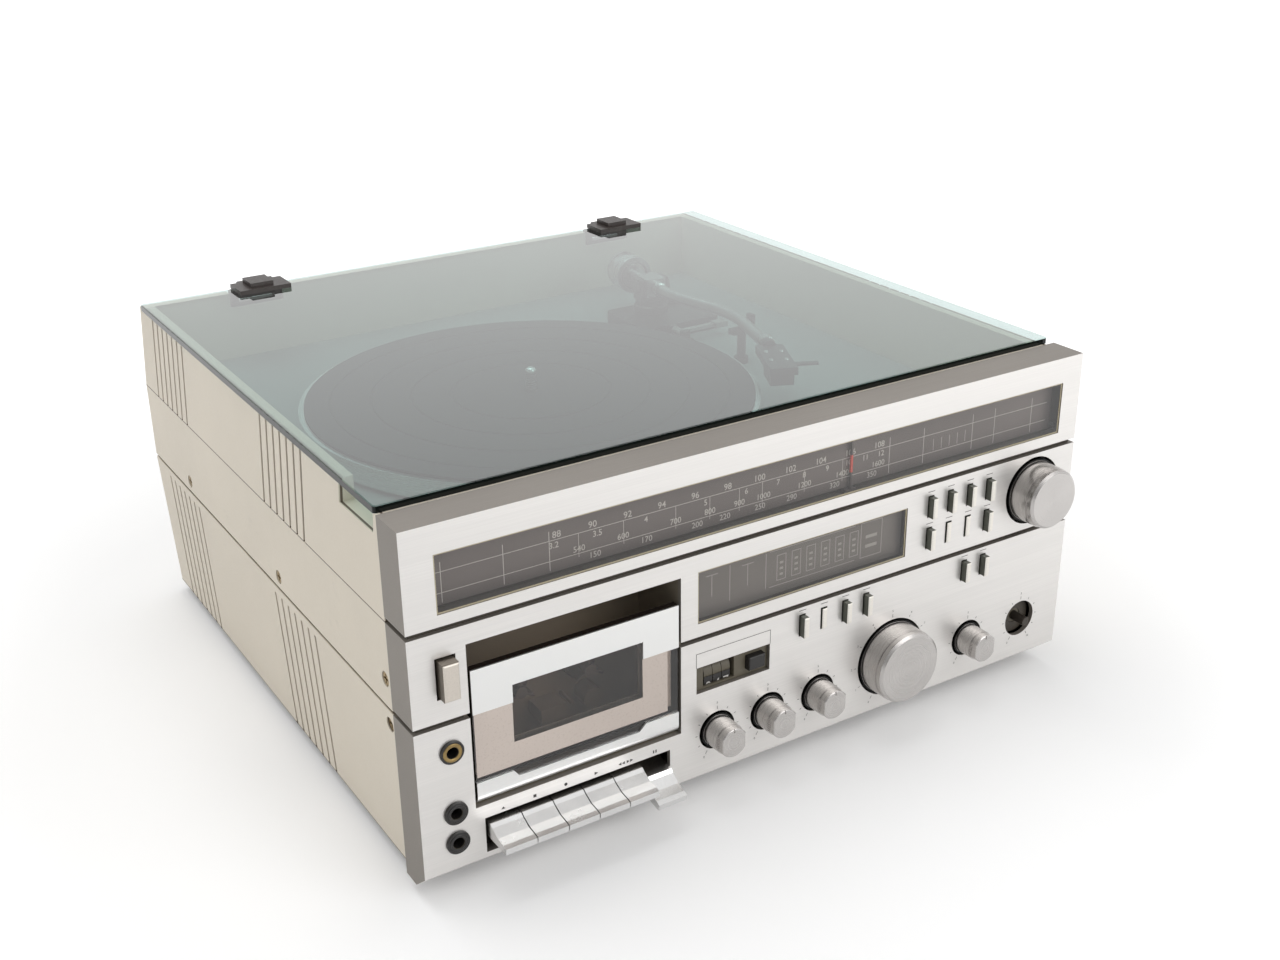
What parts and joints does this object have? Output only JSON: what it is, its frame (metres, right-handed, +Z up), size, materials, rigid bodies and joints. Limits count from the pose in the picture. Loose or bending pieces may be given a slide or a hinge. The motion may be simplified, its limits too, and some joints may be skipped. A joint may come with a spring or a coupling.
{
  "type": "gramophone",
  "caption": "Music centre: turntable under a tinted glass lid, front cassette deck, tuner dial and amplifier controls in a cream cabinet with silver front panels.",
  "frame": {"origin": "middle of the bounding box, on the floor the feet stand on", "axes": "+Z up, -Y the front with the dial and controls, +X to the right seen from the front"},
  "size_m": [0.45, 0.448, 0.225],
  "materials": {
    "panel_silver": "brushed",
    "cream_case": "fine grain",
    "dark_frame": "matte",
    "rubber_black": "matte",
    "lid_tint": "polished",
    "pane_clear": "polished",
    "pane_smoke": "polished",
    "steel": "satin",
    "brass": "satin",
    "platter_metal": "turned",
    "arm_chrome": "polished",
    "yoke_chrome": "polished",
    "shell_black": "satin",
    "base_black": "satin",
    "clamp_brown": "satin",
    "lever_chrome": "polished",
    "knob_silver": "turned",
    "button_silver": "satin",
    "button_grey": "satin",
    "key_silver": "satin",
    "pointer_red": "satin",
    "reel_white": "satin",
    "reset_black": "satin",
    "works": "satin",
    "controls_metal": "satin"
  },
  "bodies": {
    "cabinet": {"lower_panel": "panel_silver", "middle_panel": "panel_silver", "dial_panel": "panel_silver", "panel_frame": "dark_frame", "bottom_case": "cream_case", "middle_case": "cream_case", "plinth": "cream_case", "feet": "rubber_black", "case_screws": "brass", "hinge_brackets": "steel", "window_panes": "pane_clear", "belt_drive": "steel", "arm_mounts": "base_black", "cassette_well": "dark_frame", "panel_controls": "controls_metal", "electronics": "works", "rear_panel": "base_black"},
    "lid": {"lid_glass": "lid_tint", "lid_clamps": "clamp_brown"},
    "turntable": {"platter": "platter_metal", "platter_mat": "rubber_black"},
    "arm": {"tonearm": "arm_chrome", "headshell": "shell_black"},
    "door": {"cassette_door": "pane_smoke", "door_trim": "panel_silver"},
    "motor_pulley": {"motor_pulley": "brass"},
    "arm_yoke": {"arm_yoke": "yoke_chrome"},
    "cue_lever": {"cue_lever": "lever_chrome"},
    "tuner_button_1": {"tuner_button_1": "button_silver"},
    "tuner_button_2": {"tuner_button_2": "button_silver"},
    "tuner_button_3": {"tuner_button_3": "button_silver"},
    "tuner_button_4": {"tuner_button_4": "button_silver"},
    "source_button_1": {"source_button_1": "button_silver"},
    "source_button_2": {"source_button_2": "button_silver"},
    "source_button_3": {"source_button_3": "button_silver"},
    "source_button_4": {"source_button_4": "button_silver"},
    "mode_button_1": {"mode_button_1": "button_silver"},
    "mode_button_2": {"mode_button_2": "button_silver"},
    "mode_button_3": {"mode_button_3": "button_silver"},
    "mode_button_4": {"mode_button_4": "button_silver"},
    "filter_button_1": {"filter_button_1": "button_silver"},
    "filter_button_2": {"filter_button_2": "button_silver"},
    "power_button": {"power_button": "button_grey"},
    "counter_reset": {"counter_reset": "reset_black"},
    "tape_key_1": {"tape_key_1": "key_silver"},
    "tape_key_2": {"tape_key_2": "key_silver"},
    "tape_key_3": {"tape_key_3": "key_silver"},
    "tape_key_4": {"tape_key_4": "key_silver"},
    "tape_key_5": {"tape_key_5": "key_silver"},
    "tape_key_6": {"tape_key_6": "key_silver"},
    "rec_knob_left": {"rec_knob_left": "knob_silver"},
    "rec_knob_right": {"rec_knob_right": "knob_silver"},
    "balance_knob": {"balance_knob": "knob_silver"},
    "bass_knob": {"bass_knob": "knob_silver"},
    "treble_shaft": {"treble_shaft": "steel"},
    "volume_knob": {"volume_knob": "knob_silver"},
    "tuning_knob": {"tuning_knob": "knob_silver"},
    "dial_pointer": {"dial_pointer": "pointer_red"},
    "reel_left": {"reel_left": "reel_white"},
    "reel_right": {"reel_right": "reel_white"}
  },
  "joints": [
    {"name": "lid_open", "type": "hinge", "parent": "cabinet", "child": "lid", "pos_m": [0, 0.2185, 0.214], "axis": [-1, 0, 0], "range_deg": [0, 75]},
    {"name": "platter_spin", "type": "hinge", "parent": "cabinet", "child": "turntable", "pos_m": [-0.0425, 0.002, 0.1685], "axis": [0, 0, 1], "continuous": true},
    {"name": "pulley_spin", "type": "hinge", "parent": "cabinet", "child": "motor_pulley", "pos_m": [-0.12441, -0.05536, 0.1685], "axis": [0, 0, 1], "continuous": true},
    {"name": "arm_swing", "type": "hinge", "parent": "cabinet", "child": "arm_yoke", "pos_m": [0.121, 0.117, 0.1855], "axis": [0, 0, -1], "range_deg": [0, 33]},
    {"name": "arm_lift", "type": "hinge", "parent": "arm_yoke", "child": "arm", "pos_m": [0.121, 0.117, 0.1977], "axis": [-0.9925, 0.1219, 0], "range_deg": [0, 3.5]},
    {"name": "cue_raise", "type": "hinge", "parent": "cabinet", "child": "cue_lever", "pos_m": [0.113, 0.068, 0.1765], "axis": [0, -1, 0], "range_deg": [0, 30]},
    {"name": "tuner_button_1_slide", "type": "slide", "parent": "cabinet", "child": "tuner_button_1", "axis": [0, 1, 0], "range_m": [0, 0.0035], "stiffness_N_per_m": 250, "springref_m": -0.003},
    {"name": "tuner_button_2_slide", "type": "slide", "parent": "cabinet", "child": "tuner_button_2", "axis": [0, 1, 0], "range_m": [0, 0.0035], "stiffness_N_per_m": 250, "springref_m": -0.003},
    {"name": "tuner_button_3_slide", "type": "slide", "parent": "cabinet", "child": "tuner_button_3", "axis": [0, 1, 0], "range_m": [0, 0.0035], "stiffness_N_per_m": 250, "springref_m": -0.003},
    {"name": "tuner_button_4_slide", "type": "slide", "parent": "cabinet", "child": "tuner_button_4", "axis": [0, 1, 0], "range_m": [0, 0.0035], "stiffness_N_per_m": 250, "springref_m": -0.003},
    {"name": "source_button_1_slide", "type": "slide", "parent": "cabinet", "child": "source_button_1", "axis": [0, 1, 0], "range_m": [0, 0.0035], "stiffness_N_per_m": 250, "springref_m": -0.003},
    {"name": "source_button_2_slide", "type": "slide", "parent": "cabinet", "child": "source_button_2", "axis": [0, -1, 0], "range_m": [0, 0.0035]},
    {"name": "source_button_3_slide", "type": "slide", "parent": "cabinet", "child": "source_button_3", "axis": [0, -1, 0], "range_m": [0, 0.0035]},
    {"name": "source_button_4_slide", "type": "slide", "parent": "cabinet", "child": "source_button_4", "axis": [0, 1, 0], "range_m": [0, 0.0035], "stiffness_N_per_m": 250, "springref_m": -0.003},
    {"name": "mode_button_1_slide", "type": "slide", "parent": "cabinet", "child": "mode_button_1", "axis": [0, 1, 0], "range_m": [0, 0.0035], "stiffness_N_per_m": 250, "springref_m": -0.003},
    {"name": "mode_button_2_slide", "type": "slide", "parent": "cabinet", "child": "mode_button_2", "axis": [0, -1, 0], "range_m": [0, 0.0035]},
    {"name": "mode_button_3_slide", "type": "slide", "parent": "cabinet", "child": "mode_button_3", "axis": [0, 1, 0], "range_m": [0, 0.0035], "stiffness_N_per_m": 250, "springref_m": -0.003},
    {"name": "mode_button_4_slide", "type": "slide", "parent": "cabinet", "child": "mode_button_4", "axis": [0, 1, 0], "range_m": [0, 0.0035], "stiffness_N_per_m": 250, "springref_m": -0.003},
    {"name": "filter_button_1_slide", "type": "slide", "parent": "cabinet", "child": "filter_button_1", "axis": [0, 1, 0], "range_m": [0, 0.0035], "stiffness_N_per_m": 250, "springref_m": -0.003},
    {"name": "filter_button_2_slide", "type": "slide", "parent": "cabinet", "child": "filter_button_2", "axis": [0, 1, 0], "range_m": [0, 0.0035], "stiffness_N_per_m": 250, "springref_m": -0.003},
    {"name": "power_slide", "type": "slide", "parent": "cabinet", "child": "power_button", "axis": [0, 1, 0], "range_m": [0, 0.005], "stiffness_N_per_m": 250, "springref_m": -0.003},
    {"name": "counter_reset_slide", "type": "slide", "parent": "cabinet", "child": "counter_reset", "axis": [0, 1, 0], "range_m": [0, 0.003], "stiffness_N_per_m": 250, "springref_m": -0.003},
    {"name": "tape_key_1_turn", "type": "hinge", "parent": "cabinet", "child": "tape_key_1", "pos_m": [0, -0.169, 0.0355], "axis": [1, 0, 0], "range_deg": [0, 11], "stiffness_Nm_per_rad": 0.1, "springref_deg": -14.32},
    {"name": "tape_key_2_turn", "type": "hinge", "parent": "cabinet", "child": "tape_key_2", "pos_m": [0, -0.169, 0.0355], "axis": [1, 0, 0], "range_deg": [0, 11], "stiffness_Nm_per_rad": 0.1, "springref_deg": -14.32},
    {"name": "tape_key_3_turn", "type": "hinge", "parent": "cabinet", "child": "tape_key_3", "pos_m": [0, -0.169, 0.0355], "axis": [1, 0, 0], "range_deg": [0, 11], "stiffness_Nm_per_rad": 0.1, "springref_deg": -14.32},
    {"name": "tape_key_4_turn", "type": "hinge", "parent": "cabinet", "child": "tape_key_4", "pos_m": [0, -0.169, 0.0355], "axis": [1, 0, 0], "range_deg": [0, 11], "stiffness_Nm_per_rad": 0.1, "springref_deg": -14.32},
    {"name": "tape_key_5_turn", "type": "hinge", "parent": "cabinet", "child": "tape_key_5", "pos_m": [0, -0.169, 0.0355], "axis": [1, 0, 0], "range_deg": [0, 11], "stiffness_Nm_per_rad": 0.1, "springref_deg": -14.32},
    {"name": "tape_key_6_turn", "type": "hinge", "parent": "cabinet", "child": "tape_key_6", "pos_m": [0, -0.169, 0.0355], "axis": [-1, 0, 0], "range_deg": [0, 11]},
    {"name": "rec_knob_left_turn", "type": "hinge", "parent": "cabinet", "child": "rec_knob_left", "pos_m": [-0.0425, -0.204, 0.045], "axis": [0, 1, 0], "range_deg": [-150, 150]},
    {"name": "rec_knob_right_turn", "type": "hinge", "parent": "cabinet", "child": "rec_knob_right", "pos_m": [-0.0073, -0.204, 0.045], "axis": [0, 1, 0], "range_deg": [-150, 150]},
    {"name": "balance_knob_turn", "type": "hinge", "parent": "cabinet", "child": "balance_knob", "pos_m": [0.0291, -0.204, 0.045], "axis": [0, 1, 0], "range_deg": [-150, 150]},
    {"name": "bass_knob_turn", "type": "hinge", "parent": "cabinet", "child": "bass_knob", "pos_m": [0.1466, -0.204, 0.045], "axis": [0, 1, 0], "range_deg": [-150, 150]},
    {"name": "treble_shaft_turn", "type": "hinge", "parent": "cabinet", "child": "treble_shaft", "pos_m": [0.1919, -0.204, 0.045], "axis": [0, 1, 0], "range_deg": [-150, 150]},
    {"name": "volume_knob_turn", "type": "hinge", "parent": "cabinet", "child": "volume_knob", "pos_m": [0.0845, -0.204, 0.0515], "axis": [0, 1, 0], "range_deg": [-295, 5]},
    {"name": "tuning_knob_turn", "type": "hinge", "parent": "cabinet", "child": "tuning_knob", "pos_m": [0.1925, -0.204, 0.1341], "axis": [0, 1, 0], "range_deg": [-905, 535]},
    {"name": "pointer_slide", "type": "slide", "parent": "cabinet", "child": "dial_pointer", "axis": [1, 0, 0], "range_m": [-0.245, 0.145]},
    {"name": "door_open", "type": "hinge", "parent": "cabinet", "child": "door", "pos_m": [-0.1303, -0.198, 0.0574], "axis": [1, 0, 0], "range_deg": [0, 30]},
    {"name": "reel_left_spin", "type": "hinge", "parent": "cabinet", "child": "reel_left", "pos_m": [-0.15155, -0.164, 0.0929], "axis": [0, 1, 0], "continuous": true},
    {"name": "reel_right_spin", "type": "hinge", "parent": "cabinet", "child": "reel_right", "pos_m": [-0.10905, -0.164, 0.0929], "axis": [0, 1, 0], "continuous": true}
  ],
  "couplings": [
    {"joint": "pulley_spin", "follows": "platter_spin", "ratio": 15},
    {"joint": "pointer_slide", "follows": "tuning_knob_turn", "m_per_rad": 0.0155},
    {"joint": "cue_raise", "follows": "arm_lift", "ratio": 8.5}
  ]
}
